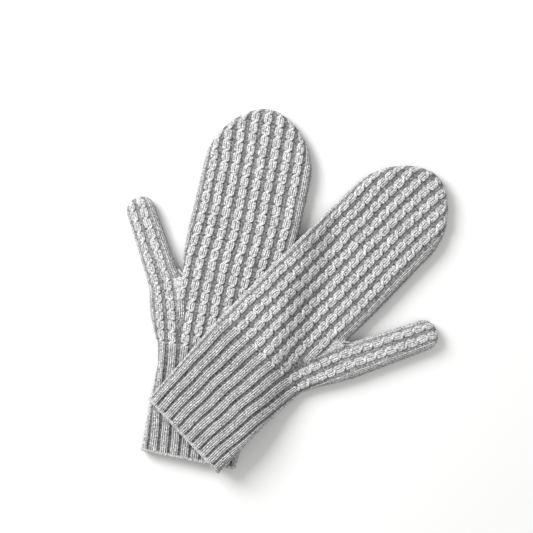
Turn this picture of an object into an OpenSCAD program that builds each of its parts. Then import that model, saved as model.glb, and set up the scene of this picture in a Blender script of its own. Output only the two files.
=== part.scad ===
// Pair of knitted mittens in cable rib, lying flat on a table with one across the other.
// Each mitten is a flattened hollow knit tube: cast-on edge, ribbed cuff, palm with a thumb
// gusset, hand, finger section, closed crown, thumb tube and thumb crown, and the yarn ends
// that are woven in on the inside.
// Frame: millimetres, +Z up, origin under the middle of the pair on the table, +Y along the
// bisector of the two hand axes, from the cuffs to the fingertips.
// The "over" mitten lies on top with its thumb towards +X; the "under" one has its thumb
// towards -X and its far side mirrored.

/* [Fabric] */
// Thickness of one flattened mitten, both layers and the air between them
mitten_t = 12; // [9:0.5:16]
// Thickness of one knit layer, measured at the top of a rib
wall = 3.2; // [2:0.1:4.5]
// Depth of the purl valley beside a knit rib
rib_h = 1.1; // [0.4:0.1:1.6]
// Width of the knit part of one rib
rib_w = 5.6; // [4:0.1:7]
// Diameter of the yarn
yarn_d = 1.4; // [1:0.1:2.5]

/* [Lengths] */
// Height of the plain ribbed cuff
cuff_len = 82; // [50:1:110]
// Distance from the cuff mouth to the knuckle fold
fold_y = 190; // [175:1:210]
// Clearance left at each fold line
fold_gap = 0.3; // [0.2:0.05:1]
// Height of the cast-on edge
edge_h = 2; // [1:0.1:4]

/* [Placement] */
// Angle of each hand axis away from +Y
lean = 16.8; // [5:0.1:35]
// Air gap between the two mittens where one lies on the other
stack_gap = 1.9; // [0.2:0.1:3]
// Distance over which the over mitten comes down to the table beside the under one
drape_len = 32; // [20:1:60]

/* [Hidden] */
wool = [0.76, 0.76, 0.75];
wool_light = [0.84, 0.84, 0.83];
wool_deep = [0.66, 0.66, 0.65];
r0 = mitten_t / 2;
deg = 57.29578;
lift_h = mitten_t + stack_gap;
// the flat part of a section reaches past its edge point by this share of the edge radius
wrap = 0.5708;
quarter = 1.5708;
// gap between two pieces knitted on from each other
seam = 0.02;
// an edge that is out of reach, for a section open on one side
far_off = 200;
// origin of each mitten (middle of its cuff mouth) in the shared frame
org = [[-8.32, -117.08], [4, -133.77]];

// outline up to the crown, far side from the thumb: [distance from the cuff mouth, edge]
far_t = [
  [[-4, -38.5], [0, -38.5], [30, -40.5], [80, -43.8], [150, -43.4], [226, -41.4]],
  [[-4, -36], [0, -36], [20, -37.8], [80, -43.6], [110, -45.8], [150, -48], [226, -50]]];
// outline up to the crown, thumb side of the cuff and of the hand beyond the crotch
near_t = [
  [[-4, 39.9], [0, 39.9], [60, 40], [82, 41.6], [131.5, 38], [145, 39.4], [170, 39.8], [226, 38.8]],
  [[-4, 39], [0, 39], [66, 38.8], [82, 41.8], [135, 33.8], [150, 35.6], [175, 36.2], [226, 34]]];
// crown: where the sides start to close, and the top of the mitten
crown_y = 226;
top_y = [273.8, 273.6];
// ribs stand at first + pitch * k: [distance from the cuff mouth, value]
first_t = [
  [[0, -34], [44, -36], [84, -36.4], [120, -35.6], [171, -34.8], [209, -36], [275, -37]],
  [[0, -35.3], [90, -32.6], [120, -32.3], [150, -34.5], [190, -37.6], [228, -37.2], [275, -36.8]]];
pitch_t = [
  [[0, 7.7], [44, 8.37], [84, 9.2], [120, 8.9], [171, 8.75], [209, 8.8], [240, 9], [275, 9.6]],
  [[0, 8], [90, 9], [120, 9.05], [150, 9.35], [190, 9.2], [228, 9.15], [275, 9.8]]];
// gusset: start on the cuff and curve of the line it grows from, crotch point, lean of the
// thumb, width at the crotch
gus_x = [23, 25.4];
gus_curve = [1.25, 0.7];
crotch = [[38, 131.5], [33.8, 135]];
thumb_lean = [26, 29.5];
gus_w = [28, 26.2];
// thumb: length from the crotch, width where its crown starts, height of the crown
thumb_len = [71.5, 68.3];
thumb_end_w = [24.6, 23.4];
thumb_crown = 13;

function sm(t) = let (c = max(0, min(1, t))) c * c * (3 - 2 * c);
// width left at distance y: 1 up to the crown, 0 at the top
function closing(m, y) = y <= crown_y ? 1
  : pow(max(0, 1 - pow((y - crown_y) / (top_y[m] - crown_y), 1.8)), 0.6);
function mid_x(m) = (lookup(crown_y, far_t[m]) + lookup(crown_y, near_t[m])) / 2;
function half_x(m) = (lookup(crown_y, near_t[m]) - lookup(crown_y, far_t[m])) / 2;
function XL(m, y) = y <= crown_y ? lookup(y, far_t[m]) : mid_x(m) - half_x(m) * closing(m, y);
function XR(m, y) = y <= crown_y ? lookup(y, near_t[m]) : mid_x(m) + half_x(m) * closing(m, y);
function flat(m, x, y) = m == 0
  ? [x * cos(lean) + y * sin(lean) + org[0][0], -x * sin(lean) + y * cos(lean) + org[0][1]]
  : [-x * cos(lean) - y * sin(lean) + org[1][0], -x * sin(lean) + y * cos(lean) + org[1][1]];
// height of the over mitten above the table, from its place beside the under one
function drape(p) = let (dx = p[0] - org[1][0], dy = p[1] - org[1][1],
    ux = dx * cos(lean) + dy * sin(lean), uy = -dx * sin(lean) + dy * cos(lean),
    s = ux + XL(1, uy)) lift_h * (1 - sm((s + 3) / drape_len));
// point of mitten m: x across, y along, z from its middle layer
function at(m, x, y, z) = let (p = flat(m, x, y)) [p[0], p[1], r0 + z + (m == 0 ? drape(p) : 0)];

// point of a flattened tube section: s runs flat across and wraps round both edges
function sec(s, xl, xr, r, off) = let (R = r * (1 - off / r0), q = wrap * r,
    a = s - xl + q, b = xr - s + q)
  a < quarter * r ? [xl + r - R * cos(a / r * deg), R * sin(a / r * deg)]
  : b < quarter * r ? [xr - r + R * cos(b / r * deg), R * sin(b / r * deg)] : [s, R];
function rib_x(m, k, y) = lookup(y, first_t[m]) + lookup(y, pitch_t[m]) * k;
// sheet profile from rib centres cs: knit tops, purl valleys, and half a rib on each edge
function ribs(cs, lo, hi) = let (h = rib_w / 2, n = len(cs) - 1,
    l3 = max(cs[0] - h, lo + 1.4), l2 = min(l3 - 0.5, max(lo + 0.9, cs[0] - h - 1.5)),
    l1 = min(l2 - 0.4, max(lo + 0.4, cs[0] - h - 3)),
    r3 = min(cs[n] + h, hi - 1.4), r2 = max(r3 + 0.5, min(hi - 0.9, cs[n] + h + 1.5)),
    r1 = max(r2 + 0.4, min(hi - 0.4, cs[n] + h + 3)))
  concat([[lo, 0], [l1, 0], [l2, rib_h], [l3, 0]],
    [for (k = [0 : n - 1]) each [[cs[k] + h, 0], [(cs[k] + cs[k + 1]) / 2, rib_h], [cs[k + 1] - h, 0]]],
    [[r3, 0], [r2, rib_h], [r1, 0], [hi, 0]]);
// ring of outer and inner points round a closed section, inner ring set back by yb
function tube(m, y, L, xl, xr, r, yb = 0, tilt = 0) = let (n = len(L),
    P = function (i, sgn, off, back) let (c = sec(L[i][0], xl, xr, r, off))
      at(m, c[0], y - back + tilt * (c[0] - xl), sgn * c[1]))
  [concat([for (i = [0 : n - 1]) P(i, 1, L[i][1], 0)], [for (i = [n - 2 : -1 : 1]) P(i, -1, L[i][1], 0)]),
   concat([for (i = [0 : n - 1]) P(i, 1, wall, yb)], [for (i = [n - 2 : -1 : 1]) P(i, -1, wall, yb)])];

// solid between rings; closed rings wrap round, open ones get side faces; dome closes the last
module loft(R, closed = true, flip = false, dome = false) {
  n = len(R[0][0]);
  k = len(R);
  pts = [for (g = R) each concat(g[0], g[1])];
  last = closed ? n - 1 : n - 2;
  h = n / 2;
  quads = concat(
    [for (j = [0 : k - 2]) for (i = [0 : last]) let (a = j * 2 * n + i, b = j * 2 * n + (i + 1) % n)
      [a, a + 2 * n, b + 2 * n, b]],
    [for (j = [0 : k - 2]) for (i = [0 : last]) let (a = j * 2 * n + i + n, b = j * 2 * n + (i + 1) % n + n)
      [a, b, b + 2 * n, a + 2 * n]],
    [for (i = [0 : last]) let (b = (i + 1) % n) [i, b, b + n, i + n]],
    dome ? [for (w = [0, n]) for (i = [0 : h - 1]) let (o = (k - 1) * 2 * n + w,
        q = [o + i, o + (n - i) % n, o + n - i - 1, o + i + 1]) w == 0 ? q : [q[3], q[2], q[1], q[0]]]
    : [for (i = [0 : last]) let (o = (k - 1) * 2 * n, b = (i + 1) % n) [o + i, o + i + n, o + b + n, o + b]],
    closed ? [] : [for (j = [0 : k - 2]) let (o = j * 2 * n) each
      [[o, o + n, o + 3 * n, o + 2 * n], [o + n - 1, o + 3 * n - 1, o + 4 * n - 1, o + 2 * n - 1]]]);
  tris = [for (f = quads) each (f[0] == f[1] || f[1] == f[2]) ? [[f[0], f[2], f[3]]]
    : (f[2] == f[3] || f[3] == f[0]) ? [[f[0], f[1], f[2]]] : [[f[0], f[1], f[2]], [f[0], f[2], f[3]]]];
  polyhedron(points = pts, faces = flip ? [for (t = tris) [t[2], t[1], t[0]]] : tris);
}

function rib_list(m, n, y) = [for (k = [0 : n - 1]) rib_x(m, k, y)];
function tube_at(m, n, y, tilt = 0) = let (xl = XL(m, y), xr = XR(m, y), q = wrap * r0)
  tube(m, y, ribs(rib_list(m, n, y), xl - q, xr + q), xl, xr, r0, 0, tilt);
// the cuff mouth runs slightly askew
function mouth_tilt(m) = m == 0 ? -0.035 : 0.01;
cuff_ribs = 9;
hand_ribs = 8;

// turned cast-on edge at the cuff mouth
module cast_on(m) {
  t = mouth_tilt(m);
  xl = XL(m, 0);
  xr = XR(m, 0);
  L = ribs(rib_list(m, cuff_ribs, 0), xl - wrap * r0, xr + wrap * r0);
  n = len(L);
  R = [for (v = [[-edge_h, 0.7], [-edge_h / 2, 0], [-seam, 0]]) let (
    P = function (i, sg, off) let (c = sec(L[i][0], xl, xr, r0, off))
      at(m, c[0], v[0] + t * (c[0] - xl), sg * c[1]))
    [concat([for (i = [0 : n - 1]) P(i, 1, v[1] + L[i][1] * 0.35)],
            [for (i = [n - 2 : -1 : 1]) P(i, -1, v[1] + L[i][1] * 0.35)]),
     concat([for (i = [0 : n - 1]) P(i, 1, wall - v[1] * 0.6)],
            [for (i = [n - 2 : -1 : 1]) P(i, -1, wall - v[1] * 0.6)])]];
  loft(R, true, m == 1);
}
// ribbed cuff; only the over mitten's folds at the wrist, so only it has the clearance there
function wrist_gap(m) = m == 0 ? fold_gap / 2 : 0;
module cuff(m) {
  t = mouth_tilt(m);
  loft([for (y = [0, 12, 26, 40, 54, 68, cuff_len - wrist_gap(m)])
    tube_at(m, cuff_ribs, y, y == 0 ? t : y == 12 ? t / 2 : 0)], true, m == 1);
}
// gusset line from the cuff to the crotch
function gx(m, y) = let (u = (y - cuff_len) / (crotch[m][1] - cuff_len))
  gus_x[m] + (crotch[m][0] - gus_x[m]) * pow(max(0, u), gus_curve[m]);
// palm, open along the gusset line; a wedge of purl opens between its last rib and that line
function palm_ring(m, y) = let (xl = XL(m, y), g = gx(m, y), last = rib_x(m, 6, y) + rib_w / 2,
    wd = max(0.6, g - last), k = min(1, (wd - 0.6) / 6),
    L0 = ribs(rib_list(m, 7, y), xl - wrap * r0, far_off),
    L = concat([for (i = [0 : len(L0) - 5]) L0[i]], [[last, 0], [last + wd * 0.18, rib_h],
      [last + wd * 0.35, rib_h * (1 - k)], [last + wd * 0.75, rib_h * (1 - k)], [last + wd, rib_h]]),
    n = len(L), P = function (i, sg, off) let (c = sec(L[i][0], xl, far_off, r0, off))
      at(m, c[0], y, sg * c[1]))
  [concat([for (i = [n - 1 : -1 : 0]) P(i, 1, L[i][1])], [for (i = [1 : n - 1]) P(i, -1, L[i][1])]),
   concat([for (i = [n - 1 : -1 : 0]) P(i, 1, wall)], [for (i = [1 : n - 1]) P(i, -1, wall)])];
function gusset_rows(m) = [cuff_len + wrist_gap(m), 90, 99, 108, 116, 124, crotch[m][1]];
module palm(m) {
  loft([for (y = gusset_rows(m)) palm_ring(m, y)], false, m == 0);
}
// thumb ribs, two of them: where each stands from the gusset line, at the cuff and at the crotch
thumb_ribs = [[7.2, 16.2], [11.2, 20.2]];
rib_shift = [1, 2.2];
function thumb_c(m, i, u) = let (c = rib_x(m, 7 + i, cuff_len) - gus_x[m])
  c + (thumb_ribs[m][i] - c) * pow(u, rib_shift[m]);
// thumb gusset, two ribs that lean away from the palm
function gus_ring(m, y) = let (y0 = cuff_len + wrist_gap(m), u = (y - y0) / (crotch[m][1] - y0),
    th = thumb_lean[m] * sm(u), g = gx(m, y) + seam, w1 = XR(m, cuff_len) - gus_x[m],
    w = w1 + (gus_w[m] - w1) * pow(u, 0.8), L0 = ribs([thumb_c(m, 0, u), thumb_c(m, 1, u)], -8, w + wrap * r0),
    L = concat([[0, rib_h]], [for (i = [3 : len(L0) - 1]) L0[i]]), n = len(L),
    P = function (i, sg, off) let (c = sec(L[i][0], -far_off, w, r0, off))
      at(m, g + c[0] * cos(th), y - c[0] * sin(th), sg * c[1]))
  [concat([for (i = [0 : n - 1]) P(i, 1, L[i][1])], [for (i = [n - 2 : -1 : 0]) P(i, -1, L[i][1])]),
   concat([for (i = [0 : n - 1]) P(i, 1, wall)], [for (i = [n - 2 : -1 : 0]) P(i, -1, wall)])];
module gusset(m) {
  loft([for (y = gusset_rows(m)) gus_ring(m, y)], false, m == 1);
}
// hand tube from the crotch to the knuckle fold, then the finger tube
tip_y = 238;
module hand(m) {
  loft([for (y = [crotch[m][1] + seam, 142, 152, 161, 169, 177, fold_y - fold_gap / 2])
    tube_at(m, hand_ribs, y)], true, m == 1);
}
module fingers(m) {
  loft([for (y = [fold_y + fold_gap / 2, 200, 210, 219, 229, tip_y]) tube_at(m, hand_ribs, y)], true, m == 1);
}
// thickness left at distance d from the end of a closed tube
function end_r(d) = d > r0 ? r0 : sqrt(r0 * r0 - pow(r0 - d, 2));
// sheet profile L stretched from its own span to another, its ribs fading by f
function stretch(L, lo, hi, f) = let (a = L[0][0], w = L[len(L) - 1][0] - a)
  [for (p = L) [lo + (p[0] - a) / w * (hi - lo), p[1] * f]];
// closed crown, its ribs drawn together towards the top
module fingertip(m) {
  ys = [tip_y + seam, 246, 253, 259, 264, 268, top_y[m] - 2.8, top_y[m] - 0.7];
  q = wrap * r0;
  L = ribs(rib_list(m, hand_ribs, tip_y), XL(m, tip_y) - q, XR(m, tip_y) + q);
  n = len(ys) - 1;
  loft([for (i = [0 : n]) let (y = ys[i], r = end_r(top_y[m] - y), xl = XL(m, y), xr = XR(m, y),
      e = wrap * r, back = wall * pow(i / n, 1.5))
    tube(m, y, stretch(L, xl - e, xr + e, 1 - i / n), xl, xr, r, back)], true, m == 1, true);
}
// thumb tube and its crown, along the thumb axis from the crotch
function thumb_w(m, t) = let (t0 = thumb_len[m] - thumb_crown,
    w = gus_w[m] + (thumb_end_w[m] - gus_w[m]) * min(t, t0) / t0)
  t <= t0 ? w : w * sqrt(max(0, 1 - pow((t - t0) / thumb_crown, 2.4)));
function on_thumb(m, s, t, z) = let (c = crotch[m], th = thumb_lean[m])
  [c[0] + s * cos(th) + t * sin(th), c[1] - s * sin(th) + t * cos(th), z];
function thumb_ring(m, t, r, yb, f) = let (w0 = gus_w[m], w = thumb_w(m, t), xl = (w0 - w) / 2,
    xr = w0 - xl, q = wrap, L0 = ribs(thumb_ribs[m], -q * r0, w0 + q * r0),
    L = stretch(L0, xl - q * r, xr + q * r, f),
    n = len(L), P = function (i, sg, off, back) let (c = sec(L[i][0], xl, xr, r, off),
      p = on_thumb(m, c[0], t - back, sg * c[1])) at(m, p[0], p[1], p[2]))
  [concat([for (i = [0 : n - 1]) P(i, 1, L[i][1], 0)], [for (i = [n - 2 : -1 : 1]) P(i, -1, L[i][1], 0)]),
   concat([for (i = [0 : n - 1]) P(i, 1, wall, yb)], [for (i = [n - 2 : -1 : 1]) P(i, -1, wall, yb)])];
function thumb_tip_t(m) = thumb_len[m] - thumb_crown - 2;
module thumb(m) {
  loft([for (t = [fold_gap, 12, 24, 36, thumb_tip_t(m)]) thumb_ring(m, t, r0, 0, 1)], true, m == 1);
}
module thumb_tip(m) {
  l = thumb_len[m];
  ts = [thumb_tip_t(m) + seam, l - 10, l - 6.5, l - 4, l - 2, l - 0.6];
  n = len(ts) - 1;
  loft([for (i = [0 : n]) let (u = i / n)
    thumb_ring(m, ts[i], end_r(l - ts[i]), wall * pow(u, 1.5), 1 - u)], true, m == 1, true);
}
// closing stitches in the crotch between thumb and hand
module crotch_join(m) {
  c = crotch[m];
  th = thumb_lean[m];
  y1 = c[1] + 1.2;
  y2 = c[1] + 5;
  zs = [-4.6, -3, -1.5, 0, 1.5, 3, 4.6];
  hx = function (y, z) XR(m, y) - r0 + sqrt(r0 * r0 - z * z) + 0.12;
  tx = function (y) c[0] + (y - c[1]) * tan(th) - 0.14;
  pts = [for (z = zs) each [at(m, hx(y1, z), y1, z), at(m, tx(y1), y1, z),
    at(m, tx(y2), y2, z), at(m, hx(y2, z), y2, z)]];
  k = len(zs);
  quads = concat([[0, 1, 2, 3]], [[4 * k - 1, 4 * k - 2, 4 * k - 3, 4 * k - 4]],
    [for (j = [0 : k - 2]) for (i = [0 : 3]) let (a = 4 * j + i, b = 4 * j + (i + 1) % 4)
      [a, a + 4, b + 4, b]]);
  tris = [for (f = quads) each [[f[0], f[1], f[2]], [f[0], f[2], f[3]]]];
  polyhedron(points = pts, faces = m == 1 ? [for (t = tris) [t[2], t[1], t[0]]] : tris);
}

// yarn swept along a list of local points [x, y, z]
module yarn(m, path) {
  W = [for (p = path) at(m, p[0], p[1], p[2])];
  n = len(W);
  s = 6; // sides of the yarn's section
  T = [for (i = [0 : n - 1]) let (d = W[min(n - 1, i + 1)] - W[max(0, i - 1)]) d / norm(d)];
  pts = [for (i = [0 : n - 1]) let (u0 = cross(T[i], abs(T[i][2]) > 0.8 ? [1, 0, 0] : [0, 0, 1]),
      u = u0 / norm(u0), v = cross(T[i], u))
    each [for (a = [0 : s - 1]) W[i] + yarn_d / 2 * (cos(a * 360 / s) * u + sin(a * 360 / s) * v)]];
  f = concat([[for (a = [0 : s - 1]) a]], [[for (a = [s - 1 : -1 : 0]) (n - 1) * s + a]],
    [for (i = [0 : n - 2]) for (a = [0 : s - 1]) let (o = i * s, b = (a + 1) % s) each
      [[o + a, o + s + a, o + s + b], [o + a, o + s + b, o + b]]]);
  polyhedron(points = pts, faces = f);
}
// height of a woven-in yarn end, on the inside of the lower layer
lie = -(r0 - wall) + yarn_d / 2 + 0.12;
// cast-on tail, woven in up the inside of the cuff beside the thumb-side edge
module edge_tail(m) {
  yarn(m, [for (i = [0 : 14]) [29 + 1.1 * sin(i * 95), 4 + i * 3.1, lie]]);
}
// yarn drawn through the last stitches of the crown, then woven in downwards
module crown_yarn(m) {
  top = top_y[m] - 6.6;
  cx = mid_x(m) - 2.8;
  loop = [for (a = [20 : 40 : 300]) [cx + 4.2 * cos(a), top - 1.2 + 0.4 * cos(a), 1.35 * sin(a)]];
  yarn(m, concat(loop, [for (i = [0 : 11]) [cx + 5.4 + 1.1 * sin(i * 95), top - 4.5 - i * 3.2, lie]]));
}
// yarn drawn through the crown of the thumb
module thumb_yarn(m) {
  l = thumb_len[m];
  mid = gus_w[m] / 2 - 1;
  loop = [for (a = [20 : 40 : 300]) on_thumb(m, mid + 2.6 * cos(a), l - 7.6, 1.3 * sin(a))];
  tail = [for (i = [0 : 9]) on_thumb(m, mid + 3.6 + 0.9 * sin(i * 95), l - 10.8 - i * 3, lie)];
  yarn(m, concat(loop, tail));
}

module over_cast_on() { color(wool_light) cast_on(0); }
module over_cuff() { color(wool) cuff(0); }
module over_palm() { color(wool) palm(0); }
module over_gusset() { color(wool) gusset(0); }
module over_hand() { color(wool) hand(0); }
module over_fingers() { color(wool) fingers(0); }
module over_fingertip() { color(wool) fingertip(0); }
module over_thumb() { color(wool) thumb(0); }
module over_thumb_tip() { color(wool) thumb_tip(0); }
module over_crotch_join() { color(wool_light) crotch_join(0); }
module over_edge_tail() { color(wool_deep) edge_tail(0); }
module over_crown_yarn() { color(wool_deep) crown_yarn(0); }
module over_thumb_yarn() { color(wool_deep) thumb_yarn(0); }
module under_cast_on() { color(wool_light) cast_on(1); }
module under_cuff() { color(wool) cuff(1); }
module under_palm() { color(wool) palm(1); }
module under_gusset() { color(wool) gusset(1); }
module under_hand() { color(wool) hand(1); }
module under_fingers() { color(wool) fingers(1); }
module under_fingertip() { color(wool) fingertip(1); }
module under_thumb() { color(wool) thumb(1); }
module under_thumb_tip() { color(wool) thumb_tip(1); }
module under_crotch_join() { color(wool_light) crotch_join(1); }
module under_edge_tail() { color(wool_deep) edge_tail(1); }
module under_crown_yarn() { color(wool_deep) crown_yarn(1); }
module under_thumb_yarn() { color(wool_deep) thumb_yarn(1); }

over_cast_on();
over_cuff();
over_palm();
over_gusset();
over_hand();
over_fingers();
over_fingertip();
over_thumb();
over_thumb_tip();
over_crotch_join();
over_edge_tail();
over_crown_yarn();
over_thumb_yarn();
under_cast_on();
under_cuff();
under_palm();
under_gusset();
under_hand();
under_fingers();
under_fingertip();
under_thumb();
under_thumb_tip();
under_crotch_join();
under_edge_tail();
under_crown_yarn();
under_thumb_yarn();
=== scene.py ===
"""Pair of cable-rib mittens: knitted skins, cast-on edges and yarn ends on the CAD frame."""
import math

import bpy
import numpy as np
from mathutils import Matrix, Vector


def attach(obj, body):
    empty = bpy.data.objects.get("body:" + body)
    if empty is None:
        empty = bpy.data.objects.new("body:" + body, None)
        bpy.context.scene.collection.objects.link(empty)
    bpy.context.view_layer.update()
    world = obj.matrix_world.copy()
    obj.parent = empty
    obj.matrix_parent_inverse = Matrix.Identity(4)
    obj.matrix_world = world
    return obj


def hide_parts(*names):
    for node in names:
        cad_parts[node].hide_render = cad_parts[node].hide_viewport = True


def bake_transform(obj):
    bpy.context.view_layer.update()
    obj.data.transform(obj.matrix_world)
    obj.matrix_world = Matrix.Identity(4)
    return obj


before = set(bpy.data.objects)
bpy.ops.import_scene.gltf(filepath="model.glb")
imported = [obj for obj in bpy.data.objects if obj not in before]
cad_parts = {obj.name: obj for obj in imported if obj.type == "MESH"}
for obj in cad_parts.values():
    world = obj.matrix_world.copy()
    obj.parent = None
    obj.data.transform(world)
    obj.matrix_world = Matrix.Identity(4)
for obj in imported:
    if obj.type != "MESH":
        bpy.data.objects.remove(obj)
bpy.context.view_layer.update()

# ---------------------------------------------------------------- sizes, in millimetres
MM = 0.001
OVER, UNDER = 0, 1
SIDE = ("over", "under")
LEAN = math.radians(16.8)       # turn of each mitten from +Y, to opposite sides
R0 = 6.0                 # half the thickness of a flattened mitten
WALL = 3.2               # thickness of the knit
LIFT = 12.8              # height of the over mitten where it lies on the under one
DRAPE = 32.0             # width of the slope where it comes down off the under one
ORG = ((-8.32, -117.08), (4.0, -133.77))     # middle of each cuff mouth
WRAP = math.pi / 2 - 1   # share of the edge radius that the flat sheet reaches past the edge
CUFF, FOLD, TIP = 82.0, 190.0, 238.0     # end of the cuff, knuckle fold, start of the fingertip
CROWN = 226.0            # where the sides start to close
TOP = (273.8, 273.6)
# the ribs and edges below are rows of (distance from the cuff mouth, place across)
FAR = (((-4, -38.5), (0, -38.5), (30, -40.5), (80, -43.8), (150, -43.4), (226, -41.4)),
       ((-4, -36), (0, -36), (20, -37.8), (80, -43.6), (110, -45.8), (150, -48), (226, -50)))
NEAR = (((-4, 39.9), (0, 39.9), (60, 40), (82, 41.6),
         (131.5, 38), (145, 39.4), (170, 39.8), (226, 38.8)),
        ((-4, 39), (0, 39), (66, 38.8), (82, 41.8),
         (135, 33.8), (150, 35.6), (175, 36.2), (226, 34)))
FIRST = (((0, -34), (44, -36), (84, -36.4), (120, -35.6), (171, -34.8), (209, -36), (275, -37)),
         ((0, -35.3), (90, -32.6), (120, -32.3), (150, -34.5), (190, -37.6), (228, -37.2), (275, -36.8)))
PITCH = (((0, 7.7), (44, 8.37), (84, 9.2), (120, 8.9),
          (171, 8.75), (209, 8.8), (240, 9), (275, 9.6)),
         ((0, 8), (90, 9), (120, 9.05), (150, 9.35), (190, 9.2), (228, 9.15), (275, 9.8)))
SIDE_RIB = ((8.7, 9.3), (8.4, 8.4))    # from the outermost rib to the side rib, far and near
GUS_X = (23.0, 25.4)     # where the thumb gusset starts on the cuff, and its line's curve
GUS_CURVE = (1.25, 0.7)
CROTCH = ((38.0, 131.5), (33.8, 135.0))
THUMB_LEAN = (math.radians(26), math.radians(29.5))
GUS_W = (28.0, 26.2)     # width of the thumb at its root
THUMB_LEN = (71.5, 68.3)
THUMB_END_W = (24.6, 23.4)      # width where the thumb's crown starts
THUMB_CROWN = 13.0
THUMB_RIBS = ((7.2, 16.2), (11.2, 20.2))
THUMB_PITCH = 8.8        # from a thumb rib to the side rib beyond it
RIB_SHIFT = (1, 2.2)     # how late the thumb's ribs spread over the gusset
TILT = (-0.035, 0.01)    # slope of the cuff mouth
TILT_REACH = 14          # how far up the cuff the slope goes
PARTING = 7              # length beyond the crotch where hand and thumb turn round again
TIP_TURN = math.radians(86)     # how far a crown turns round the top before it closes
WRIST_START = 66.0       # the cuff bends from here to its upper end
KNUCKLES = (FOLD - 8, FOLD + 12)
THUMB_ROOT = 18.0        # length of the thumb's bend
OUT_OF_REACH = 400.0     # edge of a section that is open on that side

# ---------------------------------------------------------------- the knit
ROW = 1.05               # height of one row of stitches
WALE = 1.65              # width of one stitch, four of them to a rib
KNIT_HALF = 2 * WALE
CABLE = 8 * ROW          # rows from one crossing to the next
CROSS_AT = 84.5          # middle of one crossing, and half its length
CROSS_HALF = 2.1
PROUD = 0.2              # how far a crossing stands above the rest of its rib
VALLEY = -1.45           # depth of the ground between the ribs
CUFF_VALLEY, THUMB_VALLEY = -1.6, -1.25
CABLE_FROM = 117.5       # where the palm's last rib turns into a cable
CUFF_BLEND = 20          # length over which the valleys grow shallower below the cuff's end
LOOP, SLANT, GROOVE = 0.26, 0.48, 0.5    # height, slant and side groove of one loop
WOOL = 0.11              # random height of the yarn's fibres
PLAIN_SHADE, CABLE_SHADE = 2.0, 0.45     # how much painted shade darkens the grooves between stitches
DIP = 0.1                # how far the notches between cable turns go below the valleys
SIDE_AMP = 0.7           # height of the thumb-side rib, as a share
EDGE_SHARE = 0.3         # share of the relief that is left at an edge
EDGE_SAG = 0.9           # how far a sheet sinks towards its edge
SAG_REACH = 11           # how far from the edge it starts to sink
DRIFT, WAVER = (0.22, 45), (0.16, 30)    # size and length of the ribs' common and own drift
# the inner face gets an even painted shade; the cast-on edge and the yarn ends have even tones of their
# own
INSIDE_SHADE, EDGE_TONE, YARN_TONE = 0.45, 0.72, 0.8
# spacing of the points: along a piece, over a rib, across a valley and of the inner face
FINE = ROW / 3
KNIT_COLS = np.arange(-8, 9) * WALE / 4
VALLEY_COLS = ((0.14, 0.38, 0.62, 0.86))
INNER_STEP = 12


def smooth(t):
    """0 to 1 with a soft start and end."""
    t = np.clip(t, 0, 1)
    return t * t * (3 - 2 * t)


def lookup(y, rows):
    """Value at y between the rows (y, value)."""
    return np.interp(y, [r[0] for r in rows], [r[1] for r in rows])


def closing(m, y):
    """Share of the width that is left at y, from 1 below the crown to 0 at the top."""
    u = np.clip((y - CROWN) / (TOP[m] - CROWN), 0, 1)
    return (1 - u ** 1.8) ** 0.6


def edges(m, y):
    """Far and thumb-side edge of the flattened tube at height y."""
    xl, xr = lookup(np.minimum(y, CROWN), FAR[m]), lookup(np.minimum(y, CROWN), NEAR[m])
    mid, half = (xl + xr) / 2, (xr - xl) / 2 * closing(m, y)
    return mid - half, mid + half


def flat(m, x, y):
    """Place on the table of a point of mitten m. The under mitten is a mirror image."""
    c, s = math.cos(LEAN), math.sin(LEAN)
    way = 1 if m == OVER else -1
    return way * (x * c + y * s) + ORG[m][0], -x * s + y * c + ORG[m][1]


def drape(px, py):
    """How high the over mitten lies: on the under one, or down on the table beside it."""
    c, s = math.cos(LEAN), math.sin(LEAN)
    dx, dy = px - ORG[UNDER][0], py - ORG[UNDER][1]
    past = dx * c + dy * s + edges(UNDER, -dx * s + dy * c)[0]
    return LIFT * (1 - smooth((past + 3) / DRAPE))


def at(m, x, y, z):
    """Point of mitten m in the shared frame, in metres: x across, y along, z from its middle."""
    px, py = flat(m, x, y)
    pz = R0 + z + (drape(px, py) if m == OVER else 0)
    return np.stack([px, py, pz + 0 * px], -1) * MM


def section(s, xl, xr, r, off, left=1.0, right=1.0):
    """Flattened tube section at distance s across a sheet, set in by off. left and right go
    from 0, a square corner where two tubes part, to 1, a round edge."""
    R = r * (1 - off / R0)
    a, b = s - xl + WRAP * r, xr - s + WRAP * r
    x, z = s + 0 * R, R + 0 * s
    quarter = math.pi / 2 * r
    for d, corner, way, share in ((a, xl, 1, left), (b, xr, -1, right)):
        ang = np.clip(d / np.maximum(r, 1e-6), 0, math.pi / 2)
        xc, zc = corner + way * (r - R * np.cos(ang)), R * np.sin(ang)
        xq = np.maximum(s, corner) if way == 1 else np.minimum(s, corner)
        zq = R * np.clip(d / np.maximum(WRAP * r, 1e-6), 0, 1)
        near = d < quarter
        x = np.where(near, xq + (xc - xq) * share, x)
        z = np.where(near, zq + (zc - zq) * share, z)
    return x, z


# ---------------------------------------------------------------- ribs and their relief
def rib_x(m, k, y):
    """Middle of rib k; the last one of the under hand starts nearer the palm."""
    bow = 4 * k * (7 - k) / 49 * smooth((y - 170) / 20) * (1 - smooth((y - 225) / 25)) * (m == UNDER)
    if m == UNDER and k == 7:
        bow = bow - 2.6 * (1 - smooth((y - 104) / 16)) * smooth((y - 84) / 10)
    return lookup(y, FIRST[m]) + lookup(y, PITCH[m]) * k + bow


def wander(v, seed, size, length):
    """Slow random drift along v."""
    r = np.random.default_rng(seed)
    out = 0 * v
    for _ in range(3):
        out = out + np.sin(v * 2 * math.pi / (length * r.uniform(0.6, 1.5)) + r.uniform(0, 6.3))
    return out * size / 2


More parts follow.
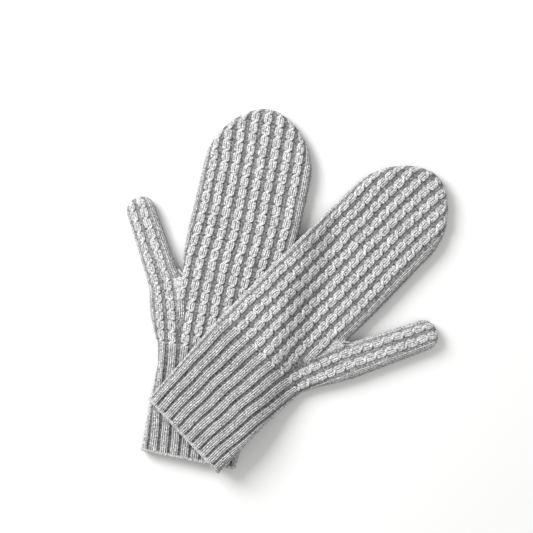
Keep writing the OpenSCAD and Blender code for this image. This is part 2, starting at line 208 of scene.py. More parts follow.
def hash01(*parts):
    """Repeatable value from 0 to 1 for each stitch."""
    h = np.zeros(np.broadcast(*parts).shape)
    for p, f in zip(parts, (12.9898, 78.233, 37.719, 4.581)):
        h = h + p * f
    return np.mod(np.sin(h) * 43758.5453, 1.0)


def stitches(b, v):
    """V of one stitch: b from -1 to 1 across it."""
    ridge = np.cos(2 * math.pi * (v / ROW - SLANT * np.abs(b)))
    groove = np.abs(b) ** 2.5
    return LOOP * ridge * (1 - 0.35 * np.abs(b)) - GROOVE * groove


def strand(d):
    """Round top of a strand or rib, d from 0 at its middle to 1 at its side."""
    top = np.sqrt(np.maximum(0.0, 1 - np.minimum(d, 1) ** 2 * 0.9)) - 1
    return 0.75 * top + (VALLEY + 0.55) * smooth((d - 0.94) / 0.3)


def plain_rib(a, v):
    """Rib of four upright wales: its body and its stitches, a from its middle."""
    wale = np.floor(np.clip(a / WALE, -2, 1.999))
    b = (a / WALE - wale) * 2 - 1
    d = np.abs(a) / KNIT_HALF
    body = 0.7 * (np.sqrt(np.maximum(0, 1 - np.minimum(d, 1) ** 3 * 0.9)) - 1)
    return body + (VALLEY + 0.3) * smooth((d - 0.74) / 0.22), stitches(b, v)


def cable_rib(a, v, seed):
    """Two strands of two stitches that change places every CABLE millimetres, always the
    same one in front."""
    n = np.round((v - CROSS_AT) / CABLE)
    shift = (hash01(n, seed) - 0.5) * 0.35
    q = np.clip((v - CROSS_AT - CABLE * n + shift) / CROSS_HALF, -1, 1)
    cross = np.cos(q * math.pi / 2) ** 2
    t = np.sin(q * math.pi / 2)
    half = WALE * (1 + 0.3 * cross)
    front, back = a + WALE * t, a - WALE * t
    hf = strand(np.abs(front) / half) + PROUD * cross
    hb = strand(np.abs(back) / half) - 0.75 * cross
    lead = hf > hb
    b = np.where(lead, front, back)
    wale = np.clip(np.floor(b / WALE), -1, 0)
    v_in = v + np.where(lead, 0.45, -0.45) * b * cross
    dome = -0.45 * (a / KNIT_HALF) ** 2
    return np.maximum(hf, hb) + dome, stitches((b / WALE - wale) * 2 - 1, v_in) * (1 - 0.25 * cross)


def purl(a, side, v, ground):
    """Bumps of the reverse stitches, half a row apart on the two sides of a rib. Where the ribs
    stand wide apart the ground between them rises."""
    bump = np.cos(2 * math.pi * v / ROW + math.pi / 2 * np.sign(a)) * np.cos(math.pi * side / WALE)
    return ground + 0.3 * bump + 0.85 * smooth((side - 1.3) / 1.6)


def relief(s, v, centres, amps, cabled, seed, ground=VALLEY):
    """Height of the knit over its sheet, and its tone: painted shade that darkens the deeper the knit
    lies and in the grooves between stitches, lighter on the loops, plus a random tone for each stitch.
    """
    gaps = s[..., None] - centres[:, None, :]
    k = np.argmin(np.abs(gaps), -1)
    a = np.take_along_axis(gaps, k[..., None], -1)[..., 0]
    amp = np.take_along_axis(amps, k, 1)
    cab = np.take_along_axis(cabled, k, 1)
    side = np.abs(a) - KNIT_HALF
    knit, loop = plain_rib(a, v)
    if cab.max() > 0:
        knit2, loop2 = cable_rib(a, v, seed + k)
        knit, loop = knit + (knit2 - knit) * cab, loop + (loop2 - loop) * cab
    back = purl(a, side, v, ground)
    inside = smooth(-side / 0.3 + 0.6) * amp
    h = back + (np.maximum(knit + loop, back - DIP) - back) * inside
    # tone: painted shade from how deep the knit lies and in the grooves between stitches (lighter on the
    # loops), and a random tone of its own for each stitch
    stitch = hash01(np.floor(v / ROW), np.floor(a / WALE), k + seed)
    clear = smooth((knit + loop - back + DIP) / 0.6)
    groove_shade = (PLAIN_SHADE + (CABLE_SHADE - PLAIN_SHADE) * cab) * inside * clear
    tone = np.clip(1 + h / 2.1 + groove_shade * loop, 0.05, 1.2) + 0.22 * (stitch - 0.5)
    return h, tone


def columns(centres, lo, hi):
    """Columns of a sheet, over each rib, in each valley and out to lo and hi."""
    n = centres.shape[1]
    first, last = centres[:, 0] - KNIT_HALF, centres[:, -1] + KNIT_HALF
    cols = [lo] + [lo + (first - lo) * f for f in VALLEY_COLS]
    for i in range(n):
        cols += [centres[:, i] + c for c in KNIT_COLS]
        if i < n - 1:
            a, b = centres[:, i] + KNIT_HALF, centres[:, i + 1] - KNIT_HALF
            cols += [a + (b - a) * f for f in VALLEY_COLS]
    cols += [last + (hi - last) * f for f in VALLEY_COLS] + [hi]
    s = np.stack(cols, 1)
    idx = np.arange(s.shape[1])
    eps = np.minimum(0.04, 0.4 * (hi - lo) / s.shape[1])[:, None]
    s = np.maximum(s, lo[:, None] + eps * idx)
    s = np.minimum(s, hi[:, None] - eps * idx[::-1])
    return np.maximum.accumulate(s, 1)


# ---------------------------------------------------------------- meshes
class Shell:
    """Collects rings of points and the faces between them."""

    def __init__(self):
        self.points, self.tones, self.faces, self.uvs, self.sharp = [], [], [], [], []
        self.count = 0

    def grid(self, p, tone):
        """Adds rows x ring points; returns their indices."""
        idx = np.arange(p.shape[0] * p.shape[1]).reshape(p.shape[:2]) + self.count
        self.points.append(p.reshape(-1, 3))
        self.tones.append(np.broadcast_to(tone, p.shape[:2]).reshape(-1))
        self.count += idx.size
        return idx

    def quads(self, a, b, c, d, box):
        """Quads from four equal index arrays, laid out in the bake box (u0, v0, u1, v1)."""
        f = np.stack([a, b, c, d], -1)
        rows, cols = f.shape[:2] if f.ndim == 3 else (1, f.shape[0])
        u0, v0, u1, v1 = box
        j, i = np.meshgrid(np.arange(rows), np.arange(cols), indexing="ij")
        corners = np.stack([
            np.stack([i, j], -1), np.stack([i, j + 1], -1),
            np.stack([i + 1, j + 1], -1), np.stack([i + 1, j], -1)], 2).astype(float)
        corners[..., 0] = u0 + (u1 - u0) * corners[..., 0] / cols
        corners[..., 1] = v0 + (v1 - v0) * corners[..., 1] / rows
        self.faces.append(f.reshape(-1, 4))
        self.uvs.append(corners.reshape(-1, 4, 2))

    def mesh(self, name):
        """The mesh, its faces turned outwards. A face whose last two corners are one point is
        a triangle."""
        faces, uvs = np.concatenate(self.faces), np.concatenate(self.uvs)
        pts = np.concatenate(self.points)
        p = pts[faces] - pts.mean(0)
        volume = (np.cross(p[:, 1], p[:, 2]) * p[:, 0]).sum()
        volume = volume + (np.cross(p[:, 2], p[:, 3]) * p[:, 0]).sum()
        keep = np.ones(faces.shape, bool)
        keep[:, 3] = faces[:, 3] != faces[:, 2]
        if volume < 0:
            faces, uvs, keep = faces[:, ::-1], uvs[:, ::-1], keep[:, ::-1]
        lists = [f if all(k) else [x for x, y in zip(f, k) if y]
                 for f, k in zip(faces.tolist(), keep.tolist())]
        me = bpy.data.meshes.new(name)
        me.from_pydata(pts.tolist(), [], lists)
        layer = me.uv_layers.new(name="OFBake")
        layer.data.foreach_set("uv", uvs[keep].reshape(-1).astype(np.float32))
        tone = me.attributes.new("tone", "FLOAT", "POINT")
        tone.data.foreach_set("value", np.concatenate(self.tones).astype(np.float32))
        me.shade_smooth()
        sharp = set(map(int, np.concatenate(self.sharp))) if self.sharp else set()
        if sharp:
            on = np.zeros(self.count, bool)
            on[list(sharp)] = True
            e = np.zeros(len(me.edges) * 2, np.int32)
            me.edges.foreach_get("vertices", e)
            both = on[e].reshape(-1, 2).all(1)
            flag = me.attributes.get("sharp_edge") or me.attributes.new("sharp_edge", "BOOLEAN", "EDGE")
            flag.data.foreach_set("value", both)
        ob = bpy.data.objects.new(name, me)
        bpy.context.collection.objects.link(ob)
        return ob


def edge_share(s, opening, reach=5):
    """Less relief where a sheet turns round its edge, so the outline keeps its width."""
    share = np.ones(s.shape)
    if opening != "left":
        share = share * (EDGE_SHARE + (1 - EDGE_SHARE) * smooth((s - s[:, :1]) / reach))
    if opening != "right":
        share = share * (EDGE_SHARE + (1 - EDGE_SHARE) * smooth((s[:, -1:] - s) / reach))
    return share


def skin(name, place, s, v, height, tone, opening="none", tip=False, body_rows=None):
    """Closed shell of one knitted piece. place(s, v, off, sheet) gives its points; opening says
    which side of the section is open: none, left or right."""
    cols = s.shape[1]
    if opening == "none":
        order = [(1, i) for i in range(cols)] + [(-1, i) for i in range(cols - 2, 0, -1)]
    elif opening == "right":
        order = [(1, i) for i in range(cols - 1, -1, -1)] + [(-1, i) for i in range(1, cols)]
    else:
        order = [(1, i) for i in range(cols)] + [(-1, i) for i in range(cols - 2, -1, -1)]
    sheet = np.array([o[0] for o in order])
    col = np.array([o[1] for o in order])
    share = edge_share(s, opening)
    wool_grain = WOOL * (1 + 3 * (1 - share)) * (2 * hash01(v, s) - 1)
    sag = EDGE_SAG * (1 - edge_share(s, opening, SAG_REACH)) ** 2
    off = {w: PROUD - height[w] * share - wool_grain + sag for w in (1, -1)}
    outer_pts = {w: place(s, v, off[w], w) for w in (1, -1)}
    outer = np.where((sheet > 0)[None, :, None], outer_pts[1][:, col], outer_pts[-1][:, col])
    rows = s.shape[0]
    last = rows - 1 if body_rows is None else body_rows
    pick = np.unique(np.r_[np.arange(0, last, INNER_STEP), last])
    inner_pts = {w: place(s[pick], v[pick], np.full(s[pick].shape, WALL), w) for w in (1, -1)}
    inner = np.where((sheet > 0)[None, :, None], inner_pts[1][:, col], inner_pts[-1][:, col])
    t = np.where((sheet > 0)[None, :], tone[1][:, col], tone[-1][:, col])

    shell = Shell()
    o = shell.grid(outer, t)
    # the inner face: painted shade of the mitten's inside
    n = shell.grid(inner, INSIDE_SHADE)
    wrap = opening == "none"

    def nxt(x):
        return np.roll(x, -1, 1) if wrap else x[:, 1:]

    def cur(x):
        return x if wrap else x[:, :-1]

    shell.quads(cur(o)[:-1], nxt(o)[:-1], nxt(o)[1:], cur(o)[1:], (0, 0.14, 1, 1))
    shell.quads(cur(n)[:-1], cur(n)[1:], nxt(n)[1:], nxt(n)[:-1], (0, 0, 1, 0.1))
    shell.quads(nxt(o)[:1], cur(o)[:1], cur(n)[:1], nxt(n)[:1], (0, 0.105, 1, 0.115))
    shell.sharp.append(o[0])
    if tip:
        for ring, way in ((o[-1], 1), (n[-1], -1)):
            half = np.arange(cols - 1)
            size = len(ring)
            a, b = ring[half], ring[half + 1]
            c, d = ring[(size - half - 1) % size], ring[(size - half) % size]
            q = np.stack([a, b, c, d], 1) if way > 0 else np.stack([d, c, b, a], 1)
            fixed = []
            for r in q:
                u = list(dict.fromkeys(r.tolist()))
                fixed.append(u + [u[-1]] * (4 - len(u)))
            q = np.array(fixed)[None]
            box = (0, 0.12, 0.5, 0.125) if way > 0 else (0.5, 0.12, 1, 0.125)
            shell.quads(q[..., 0], q[..., 1], q[..., 2], q[..., 3], box)
    else:
        shell.quads(cur(o)[-1:], nxt(o)[-1:], nxt(n)[-1:], cur(n)[-1:], (0, 0.118, 1, 0.128))
        shell.sharp.append(o[-1])
    if not wrap:
        for e, way in ((0, 1), (-1, -1)):
            tri = []
            for j in range(len(pick) - 1):
                lo, hi = pick[j], pick[j + 1]
                for r in range(lo, hi):
                    tri.append((n[j, e], o[r, e], o[r + 1, e]))
                tri.append((n[j, e], o[hi, e], n[j + 1, e]))
            tri = np.array(tri)
            if way < 0:
                tri = tri[:, ::-1]
            q = np.concatenate([tri, tri[:, 2:]], 1)[None]
            box = (0, 0.13, 1, 0.133) if way > 0 else (0, 0.135, 1, 0.138)
            shell.quads(q[..., 0], q[..., 1], q[..., 2], q[..., 3], box)
        shell.sharp.append(o[:, 0])
        shell.sharp.append(o[:, -1])
    return shell.mesh(name)


def finish_piece(ob, m, part, slot_name, ride=None, bend=None):
    """Material of a piece, and its CAD node hidden. Without bend it rides on the body ride; with bend
    its transform is only applied and it is put on no body, and the bodies and line in bend are not used.
    """
    node = f"{SIDE[m]}_{part}"
    ob.data.materials.append(MATERIALS[slot_name])
    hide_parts(node)
    if bend:
        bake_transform(ob)
    else:
        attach(ob, ride)


def rows_between(v0, v1):
    """Heights of the rows of points from v0 to v1."""
    return np.linspace(v0, v1, max(2, int(round((v1 - v0) / FINE)) + 1))


def knit_sheets(s, v, centres, amps, cabled, seed, ground=VALLEY):
    """Relief and tone, painted shade and stitch tone together, of the upper and the lower sheet of a
    piece.
    """
    height, tone = {}, {}
    for w, more in ((1, 0), (-1, 40)):
        height[w], tone[w] = relief(s, v, centres, amps, cabled, seed + more, ground)
    for i in (0, -1):      # the two sheets meet in one line along each edge
        height[-1][:, i], tone[-1][:, i] = height[1][:, i], tone[1][:, i]
    return height, tone


def tube_piece(m, part, v0, v1, ribs, cable, open_near=False, **ride):
    """Cuff, hand and finger pieces: ribs is the list of rib numbers, side ribs included."""
    tip = part == "fingertip"
    v = rows_between(v0, TOP[m] - R0 + TIP_TURN * R0 if tip else v1)
    turn = np.clip((v - (TOP[m] - R0)) / R0, 0, math.pi / 2)
    y = np.where(turn > 0, TOP[m] - R0 + R0 * np.sin(turn), v)
    r = (R0 * np.cos(turn))[:, None]
    xl, xr = (e[:, None] for e in edges(m, y))
    lo, hi = (xl - WRAP * r)[:, 0], (xr + WRAP * r)[:, 0]
    drift = wander(y, 3 + m, *DRIFT)
    centres = []
    for k in ribs:
        c = rib_x(m, min(max(k, 0), ribs[-2]), y)
        if k < 0:
            c = c - SIDE_RIB[m][0]
        if part != "cuff" and k == ribs[-1]:
            c = c + SIDE_RIB[m][1]
        if part == "cuff" and k == ribs[-1]:
            c = rib_x(m, k, y)
        centres.append(c + drift + wander(y, 100 * m + k + 9, *WAVER))
    centres = np.stack(centres, 1)
    amps = np.ones(centres.shape)
    cabled = np.zeros(centres.shape)
    if cable:
        cabled[:, 1:-1] = 1
        amps[:, -1] = SIDE_AMP
    s = columns(centres, lo, hi)
    V = v[:, None] + 0 * s
    ground = (VALLEY + (CUFF_VALLEY - VALLEY) * smooth((CUFF - y) / CUFF_BLEND))[:, None]
    height, tone = knit_sheets(s, V, centres, amps, cabled, 17 * m, ground)
    gap = np.clip((y - CROTCH[m][1]) / PARTING, 0, 1) if open_near else np.ones(len(y))
    round_near = smooth(gap)[:, None]
    slope = TILT[m] * np.clip(1 - y / TILT_REACH, 0, 1) if part == "cuff" else 0 * y

    def place(S, Vr, off, w):
        rows = np.searchsorted(v, Vr[:, 0] - 1e-9)
        x, z = section(S, xl[rows], xr[rows], r[rows], off, right=round_near[rows])
        along = y[rows][:, None] + slope[rows][:, None] * (x - xl[rows])
        return at(m, x, along - off * np.sin(turn[rows])[:, None], w * z)

    body_rows = int(np.searchsorted(v, TOP[m] - R0 - 1)) if tip else None
    ob = skin(f"{SIDE[m]}_knit_{part}", place, s, V, height, tone, tip=tip, body_rows=body_rows)
    finish_piece(ob, m, part, "wool_knit", **ride)


def gusset_line(m, y):
    """Line that the thumb gusset grows from."""
    u = np.clip((y - CUFF) / (CROTCH[m][1] - CUFF), 0, 1)
    return GUS_X[m] + (CROTCH[m][0] - GUS_X[m]) * u ** GUS_CURVE[m]


def palm_piece(m, **ride):
    """Palm, open along the gusset line, with the wedge of purl where an eighth rib begins."""
    y = rows_between(CUFF, CROTCH[m][1])
    xl = edges(m, y)[0][:, None]
    lo, hi = xl[:, 0] - WRAP * R0, gusset_line(m, y)
    drift = wander(y, 3 + m, *DRIFT)
    centres = [rib_x(m, 0, y) - SIDE_RIB[m][0] + drift + wander(y, 100 * m + 8, *WAVER)]
    centres += [rib_x(m, k, y) + drift + wander(y, 100 * m + k + 9, *WAVER) for k in range(8)]
    centres = np.stack(centres, 1)
    amps = np.ones(centres.shape)
    amps[:, -1] = smooth((y - 100) / 5)
    cabled = np.zeros(centres.shape)
    cabled[:, 1:8] = 1
    cabled[:, 8] = y > CABLE_FROM
    s = columns(centres, lo, hi)
    V = y[:, None] + 0 * s
    height, tone = knit_sheets(s, V, centres, amps, cabled, 17 * m)

    def place(S, Vr, off, w):
        rows = np.searchsorted(y, Vr[:, 0] - 1e-9)
        x, z = section(S, xl[rows], xl[rows] + OUT_OF_REACH, R0, off)
        return at(m, x, y[rows][:, None] + 0 * x, w * z)

    ob = skin(f"{SIDE[m]}_knit_palm", place, s, V, height, tone, opening="right")
    finish_piece(ob, m, "palm", "wool_knit", **ride)


def gusset_piece(m, **ride):
    """Thumb gusset: two cabled ribs and a side rib that lean away from the palm."""
    y = rows_between(CUFF, CROTCH[m][1])
    u = (y - CUFF) / (CROTCH[m][1] - CUFF)
    th = THUMB_LEAN[m] * smooth(u)
    w0 = edges(m, np.array([CUFF]))[1][0] - GUS_X[m]
    width = w0 + (GUS_W[m] - w0) * u ** 0.8
    starts = [rib_x(m, 7 + i, np.array([CUFF]))[0] - GUS_X[m] for i in (0, 1)]
    centres = [starts[i] + (THUMB_RIBS[m][i] - starts[i]) * u ** RIB_SHIFT[m] for i in (0, 1)]
    centres.append(centres[1] + THUMB_PITCH)
    centres = np.stack(centres, 1)
    amps = np.ones(centres.shape)
    amps[:, -1] = SIDE_AMP
    cabled = np.ones(centres.shape)
    cabled[:, -1] = 0
    lo, hi = 0 * y, width + WRAP * R0
    s = columns(centres, lo, hi)
    V = y[:, None] + 0 * s
    ground = (VALLEY + (THUMB_VALLEY - VALLEY) * u)[:, None]
    height, tone = knit_sheets(s, V, centres, amps, cabled, 17 * m + 5, ground)
    g = gusset_line(m, y)[:, None]

    def place(S, Vr, off, w):
        rows = np.searchsorted(y, Vr[:, 0] - 1e-9)
        x, z = section(S, -OUT_OF_REACH, width[rows][:, None], R0, off)
        c, sn = np.cos(th[rows])[:, None], np.sin(th[rows])[:, None]
        return at(m, g[rows] + x * c, y[rows][:, None] - x * sn, w * z)

    ob = skin(f"{SIDE[m]}_knit_gusset", place, s, V, height, tone, opening="left")
    finish_piece(ob, m, "gusset", "wool_knit", **ride)


def on_thumb(m, s, t, z):
    """Point of a thumb: s across it, t along it from the crotch."""
    c, th = CROTCH[m], THUMB_LEAN[m]
    return at(m, c[0] + s * math.cos(th) + t * math.sin(th),
              c[1] - s * math.sin(th) + t * math.cos(th), z)


def thumb_piece(m, part, t0, t1, **ride):
    """Thumb tube or its crown: two cabled ribs and a plain rib on each edge."""
    length = THUMB_LEN[m]
    tip = part == "thumb_tip"
    t = rows_between(t0, length - R0 + TIP_TURN * R0 if tip else t1)
    turn = np.clip((t - (length - R0)) / R0, 0, math.pi / 2)
    tt = np.where(turn > 0, length - R0 + R0 * np.sin(turn), t)
    r = (R0 * np.cos(turn))[:, None]
    straight = length - THUMB_CROWN
    width = GUS_W[m] + (THUMB_END_W[m] - GUS_W[m]) * np.minimum(tt, straight) / straight
    u = np.clip((tt - straight) / THUMB_CROWN, 0, 1)
    width = width * np.sqrt(np.maximum(1e-6, 1 - u ** 2.4))
    xl = ((GUS_W[m] - width) / 2)[:, None]
    xr = GUS_W[m] - xl
    lo, hi = (xl - WRAP * r)[:, 0], (xr + WRAP * r)[:, 0]
    shrink = 1 - 0.06 * np.minimum(tt, straight) / straight
    mid = GUS_W[m] / 2
    a, b = THUMB_RIBS[m]
    at_s = [a - THUMB_PITCH, a, b, b + THUMB_PITCH]
    centres = [mid + (c - mid) * shrink + wander(tt, 50 + int(c), 0.2, 22) for c in at_s]
    centres = np.stack(centres, 1)
    amps = np.ones(centres.shape)
    amps[:, 0] = smooth(tt / 5)
    cabled = np.zeros(centres.shape)
    cabled[:, 1:3] = 1
    amps[:, -1] = SIDE_AMP
    s = columns(centres, lo, hi)
    V = (t + CROTCH[m][1])[:, None] + 0 * s
    height, tone = knit_sheets(s, V, centres, amps, cabled, 17 * m + 5, THUMB_VALLEY)
    round_inner = smooth(tt / PARTING)[:, None]

    def place(S, Vr, off, w):
        rows = np.searchsorted(t, Vr[:, 0] - CROTCH[m][1] - 1e-9)
        x, z = section(S, xl[rows], xr[rows], r[rows], off, left=round_inner[rows])
        return on_thumb(m, x, tt[rows][:, None] - off * np.sin(turn[rows])[:, None], w * z)

    body_rows = int(np.searchsorted(t, length - R0 - 1)) if tip else None
    ob = skin(f"{SIDE[m]}_knit_{part}", place, s, V, height, tone, tip=tip, body_rows=body_rows)
    finish_piece(ob, m, part, "wool_knit", **ride)


def cast_on_piece(m, **ride):
    """Rolled cast-on edge: a bead of one stitch after the other round the cuff mouth."""
    y = np.array([0.0, 0.0])
    xl, xr = (e[:1, None] for e in edges(m, y))
    lo, hi = (xl - WRAP * R0)[:, 0], (xr + WRAP * R0)[:, 0]
    centres = [rib_x(m, k, y[:1]) - (SIDE_RIB[m][0] - 7.7 if k < 0 else 0) for k in range(-1, 10)]
    centres = np.stack(centres, 1)
    s = columns(centres, lo, hi)
    height, _ = relief(s, 0 * s + ROW / 4, centres, np.ones(centres.shape), 0 * centres, 0)
    cols = s.shape[1]
    order = [(1, i) for i in range(cols)] + [(-1, i) for i in range(cols - 2, 0, -1)]
    around = 10
    rings = []
    for j in range(around):
        a = 2 * math.pi * j / around
        bump = 1 + 0.2 * np.abs(np.cos(math.pi * s / WALE))
        off = 1.35 - 0.25 * height - 1.05 * bump * math.cos(a)
        out = -0.75 + 1.15 * bump * math.sin(a)
        pts = {}
        for w in (1, -1):
            x, z = section(s, xl, xr, R0, off)
            pts[w] = at(m, x, out + TILT[m] * (x - xl), w * z)
        rings.append(np.array([pts[w][0, i] for w, i in order]))
    p = np.array(rings)
    shell = Shell()
    o = shell.grid(p, EDGE_TONE)
    o2 = np.roll(o, -1, 0)
    shell.quads(o, np.roll(o, -1, 1), np.roll(o2, -1, 1), o2, (0, 0, 1, 1))
    ob = shell.mesh(f"{SIDE[m]}_knit_cast_on")
    finish_piece(ob, m, "cast_on", "wool_edge", **ride)


# ---------------------------------------------------------------- yarn
def yarn_mesh(shell, path, radius, box, twist=0.9, sides=12):
    """Two-ply yarn along path (metres): its section is two round plies that turn round."""
    p = np.array(path)
    d = np.gradient(p, axis=0)
    d /= np.linalg.norm(d, axis=1)[:, None]
    up = np.where(np.abs(d[:, 2:]) > 0.8, [[1.0, 0, 0]], [[0, 0, 1.0]])
    u = np.cross(d, up)
    u /= np.linalg.norm(u, axis=1)[:, None]
    w = np.cross(d, u)
    length = np.r_[0, np.cumsum(np.linalg.norm(np.diff(p, axis=0), axis=1))]
    turn = length / (radius * 2) * twist
    ang = np.linspace(0, 2 * math.pi, sides, endpoint=False)
    rad = radius * (0.72 + 0.28 * np.abs(np.cos(ang[None] - turn[:, None])))
    rad[0] *= 0.4
    rad[-1] *= 0.4
    cs, sn = np.cos(ang)[None, :, None], np.sin(ang)[None, :, None]
    ring = p[:, None] + rad[..., None] * (cs * u[:, None] + sn * w[:, None])
    o = shell.grid(ring, YARN_TONE)
    shell.quads(o[:-1], np.roll(o, -1, 1)[:-1], np.roll(o, -1, 1)[1:], o[1:], box)
    for r, way in ((o[0], 1), (o[-1], -1)):
        mid = shell.grid(np.array([[p[0] if way > 0 else p[-1]]]), YARN_TONE)[0, 0]
        a, b = r, np.roll(r, -1)
        hub = np.full(len(r), mid)
        q = np.stack([hub, b, a, a], 1)[None] if way > 0 else np.stack([hub, a, b, b], 1)[None]
        shell.quads(q[..., 0], q[..., 1], q[..., 2], q[..., 3], (box[0], box[3], box[2], box[3] + 0.005))


def resample(points, step=0.35):
    """Smooth path through control points, in millimetres (Catmull-Rom)."""
    p = np.array(points, float)
    p = np.vstack([2 * p[0] - p[1], p, 2 * p[-1] - p[-2]])
    out = []
    for i in range(1, len(p) - 2):
        n = max(2, int(np.linalg.norm(p[i + 1] - p[i]) / step))
        for t in np.linspace(0, 1, n, endpoint=False):
            a, b, c, d = p[i - 1:i + 3]
            out.append(0.5 * ((2 * b) + (c - a) * t + (2 * a - 5 * b + 4 * c - d) * t * t
                              + (3 * b - a - 3 * c + d) * t ** 3))
    out.append(p[-2])
    return np.array(out)


YARN = 0.7               # half the thickness of the yarn
LIE = -(R0 - WALL) + YARN + 0.12         # height of a yarn end on the lower sheet's inside


def tail_piece(m, part, local, **ride):
    """Yarn end through points in a mitten's own millimetres, or in its thumb's."""
    q = resample(local)
    place = on_thumb if part == "thumb_yarn" else at
    path = place(m, q[:, 0], q[:, 1], q[:, 2])
    shell = Shell()
    yarn_mesh(shell, path, YARN * MM, (0, 0, 1, 0.9))
    finish_piece(shell.mesh(f"{SIDE[m]}_yarn_{part}"), m, part, "wool_yarn", **ride)


def crotch_piece(m, **ride):
    """Stitches that close the hole between thumb and hand."""
    c, th = CROTCH[m], THUMB_LEAN[m]
    shell = Shell()
    for i, z in enumerate((-4.2, -2.5, -0.8, 0.9, 2.6, 4.3)):
        pts = []
        for f in np.linspace(0, 1, 7):
            yy = c[1] + 1.6 + 2.6 * f * (1 if i % 2 else 0.7) + 0.4 * (i % 3)
            edge = edges(m, np.array([yy]))[1][0]
            left = edge - R0 + math.sqrt(R0 * R0 - z * z) - 0.5
            right = c[0] + (yy - c[1]) * math.tan(th) + 0.5
            pts.append((left + (right - left) * f, yy - 0.8 * math.sin(math.pi * f),
                        z + 0.5 * math.sin(5 * f)))
        q = resample(pts, 0.5)
        box = (0, i * 0.16, 1, i * 0.16 + 0.14)
        yarn_mesh(shell, at(m, q[:, 0], q[:, 1], q[:, 2]), 0.62 * MM, box)
    finish_piece(shell.mesh(f"{SIDE[m]}_knit_crotch_join"), m, "crotch_join", "wool_edge", **ride)


# ---------------------------------------------------------------- materials
def wool(name, shade_colour, light, fleck):
    """Marled wool: its colour runs from a painted shade in the deep relief and grooves to the wool's own
    colour on the ridges, following the tone, with lighter and darker fibres mixed in.
    """
    mat = bpy.data.materials.new(name)
    mat.use_nodes = True
    nt = mat.node_tree
    nt.nodes.clear()

    def add(kind, **inputs):
        n = nt.nodes.new(kind)
        for k, val in inputs.items():
            n.inputs[k.replace("_", " ")].default_value = val
        return n

    def wire(a, out, b, to):
        nt.links.new(a.outputs[out], b.inputs[to])

    out = add("ShaderNodeOutputMaterial")
    bsdf = add("ShaderNodeBsdfPrincipled", Roughness=0.92, Specular_IOR_Level=0.25,
               Sheen_Weight=0.3, Sheen_Roughness=0.5)
    wire(bsdf, "BSDF", out, "Surface")
    coord = add("ShaderNodeTexCoord")
    tone = add("ShaderNodeAttribute")
    tone.attribute_name = "tone"
    ramp = add("ShaderNodeValToRGB")
    # painted shade: the lowest tones get the shaded groove colour
    ramp.color_ramp.elements[0].color = (*shade_colour, 1)
    ramp.color_ramp.elements[1].color = (*light, 1)
    ramp.color_ramp.elements[0].position = 0.12
    ramp.color_ramp.elements[1].position = 0.95
    wire(tone, "Fac", ramp, "Fac")
    marl = add("ShaderNodeTexNoise", Scale=900.0, Detail=3.0, Roughness=0.8, Distortion=1.2)
    wire(coord, "Object", marl, "Vector")
    darkest = max(0.08, 1 - fleck)
    spread = add("ShaderNodeMapRange", From_Min=0.36, From_Max=0.64, To_Min=darkest, To_Max=1 + fleck)
    wire(marl, "Fac", spread, "Value")
    cloud = add("ShaderNodeTexNoise", Scale=90.0, Detail=2.0)
    wire(coord, "Object", cloud, "Vector")
    drift = add("ShaderNodeMapRange", From_Min=0.3, From_Max=0.7, To_Min=0.94, To_Max=1.06)
    wire(cloud, "Fac", drift, "Value")
    times = add("ShaderNodeMath")
    times.operation = "MULTIPLY"
    wire(spread, "Result", times, 0)
    wire(drift, "Result", times, 1)
    mix = add("ShaderNodeVectorMath")
    mix.operation = "SCALE"
    wire(ramp, "Color", mix, 0)
    wire(times, "Value", mix, "Scale")
    wire(mix, "Vector", bsdf, "Base Color")
    fibre = add("ShaderNodeTexNoise", Scale=3200.0, Detail=3.0, Roughness=0.7)
    wire(coord, "Object", fibre, "Vector")
    rough = add("ShaderNodeBump", Strength=0.5, Distance=0.00025)
    wire(fibre, "Fac", rough, "Height")
    wire(rough, "Normal", bsdf, "Normal")
    return mat


# name, then the wool's colour with painted shade for its grooves, its own colour on its ridges, and how
# marled it is
MATERIALS = {
    "wool_knit": wool("wool_knit", (0.05, 0.05, 0.051), (0.515, 0.515, 0.52), 1.15),
    "wool_edge": wool("wool_edge", (0.12, 0.12, 0.12), (0.5, 0.5, 0.5), 0.8),
    "wool_yarn": wool("wool_yarn", (0.12, 0.12, 0.12), (0.45, 0.45, 0.45), 0.8),
}

# ---------------------------------------------------------------- the two mittens
def bend_line(place, m, across, spots):
    """Start and end of the bend of a piece, both at the height of its start."""
    line = [place(m, np.array(across), np.array(spot), np.array(0.0)) for spot in spots]
    line[1][2] = line[0][2]
    return line


def woven_in(x, y, step, swing, count):
    """Yarn end woven from side to side down the inside of the lower sheet."""
    return [(x + swing * math.sin(math.radians(95 * i)), y + step * i, LIE) for i in range(count)]


def yarn_ends(m, cuff, fingers, thumb):
    """The three ends: at the cast-on edge, and drawn in a loop through each crown."""
    tail_piece(m, "edge_tail", woven_in(29, 4, 3.1, 1.1, 15), **cuff)
    turns = [math.radians(a) for a in range(20, 301, 40)]
    top = TOP[m] - 6.6
    mid = sum(e[0] for e in edges(m, np.array([CROWN]))) / 2 - 2.8
    loop = [(mid + 4.2 * math.cos(a), top - 1.2 + 0.4 * math.cos(a), 1.35 * math.sin(a)) for a in turns]
    tail_piece(m, "crown_yarn", loop + woven_in(mid + 5.4, top - 4.5, -3.2, 1.1, 12), ride=fingers)
    mid = GUS_W[m] / 2 - 1
    end = THUMB_LEN[m] - 7.6
    loop = [(mid + 2.6 * math.cos(a), end, 1.3 * math.sin(a)) for a in turns]
    tail_piece(m, "thumb_yarn", loop + woven_in(mid + 3.6, end - 3.2, -3, 0.9, 10), ride=thumb)


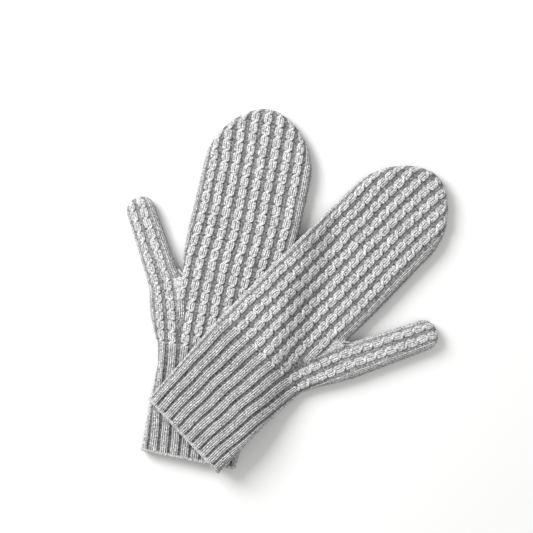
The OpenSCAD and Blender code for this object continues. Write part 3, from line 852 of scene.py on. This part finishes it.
def mitten(m):
    """All the pieces of one mitten. The over cuff, the fingers and the thumb are given a bend line,
    which nothing uses, and put on no body; only the over cuff gets one at the wrist. The other pieces
    each ride on a body.
    """
    palm, fingers, thumb = (f"{SIDE[m]}_{body}" for body in ("palm", "fingers", "thumb"))
    cuff = mouth = {"ride": palm}
    if m == OVER:
        cuff = {"bend": (palm, "over_cuff", *bend_line(at, m, 0.0, (CUFF, WRIST_START)))}
        mouth = {"ride": "over_cuff"}
    knuckles = bend_line(at, m, 0.0, KNUCKLES)
    root = bend_line(on_thumb, m, 12.0, (0.0, THUMB_ROOT))
    hand_ribs = list(range(-1, 9))
    straight = THUMB_LEN[m] - THUMB_CROWN - 2
    cast_on_piece(m, **mouth)
    tube_piece(m, "cuff", 0.0, CUFF, list(range(-1, 10)), cable=False, **cuff)
    palm_piece(m, ride=palm)
    gusset_piece(m, ride=palm)
    tube_piece(m, "hand", CROTCH[m][1], KNUCKLES[0], hand_ribs, cable=True, open_near=True, ride=palm)
    tube_piece(m, "fingers", KNUCKLES[0], TIP, hand_ribs, cable=True, bend=(palm, fingers, *knuckles))
    tube_piece(m, "fingertip", TIP, None, hand_ribs, cable=True, ride=fingers)
    thumb_piece(m, "thumb", 0.0, straight, bend=(palm, thumb, *root))
    thumb_piece(m, "thumb_tip", straight, None, ride=thumb)
    crotch_piece(m, ride=palm)
    yarn_ends(m, mouth, fingers, thumb)


for which in (OVER, UNDER):
    mitten(which)

# ---------------------------------------------------------------- floor, light and camera
def plain(name, colour, roughness):
    """Material of one colour, for the floor."""
    mat = bpy.data.materials.new(name)
    mat.use_nodes = True
    bsdf = mat.node_tree.nodes["Principled BSDF"]
    bsdf.inputs["Base Color"].default_value = (*colour, 1)
    bsdf.inputs["Roughness"].default_value = roughness
    return mat


bpy.ops.mesh.primitive_plane_add(size=6, location=(0, 0, -0.0002))
floor = bpy.context.object
floor.name = "floor"
floor.data.materials.append(plain("floor", (0.74, 0.74, 0.74), 0.8))

TURN = math.radians(28)      # the camera's upward direction, turned from +Y
up = np.array([-math.sin(TURN), math.cos(TURN), 0])
right = np.array([math.cos(TURN), math.sin(TURN), 0])


def area_light(name, energy, size, direction, distance):
    """Square light that points at the origin from distance away along direction, which is
    right, up and height as the camera sees them."""
    d = right * direction[0] + up * direction[1] + np.array([0, 0, direction[2]])
    d = d / np.linalg.norm(d)
    data = bpy.data.lights.new(name, "AREA")
    data.energy, data.size = energy, size
    ob = bpy.data.objects.new(name, data)
    bpy.context.collection.objects.link(ob)
    ob.location = d * distance
    ob.rotation_mode = "QUATERNION"
    ob.rotation_quaternion = Vector(-d).to_track_quat("-Z", "Y")


area_light("key", 29, 0.8, (-1, 0.8, 1.1), 1.5)
area_light("fill", 7, 1.6, (0.5, -0.3, 1.4), 1.8)
world = bpy.data.worlds.new("world")
world.use_nodes = True
world.node_tree.nodes["Background"].inputs["Color"].default_value = (1, 0.995, 0.98, 1)
world.node_tree.nodes["Background"].inputs["Strength"].default_value = 0.57
bpy.context.scene.world = world

bpy.context.scene.view_settings.view_transform = "Standard"

VIEW_WIDTH, HEIGHT = 405.1, 1.6          # width seen at the mittens in mm, camera height in m
MIDDLE = 0.012                           # height of the mittens' middle, in metres
AIM = (-13.36, 22.70)
SENSOR = 36
cam = bpy.data.cameras.new("camera")
cam.sensor_width = SENSOR
cam.lens = SENSOR * (HEIGHT - MIDDLE) / (VIEW_WIDTH * MM)
cam_ob = bpy.data.objects.new("camera", cam)
bpy.context.collection.objects.link(cam_ob)
cam_ob.location = (AIM[0] * MM, AIM[1] * MM, HEIGHT)
cam_ob.rotation_euler = (0, 0, TURN)
bpy.context.scene.camera = cam_ob
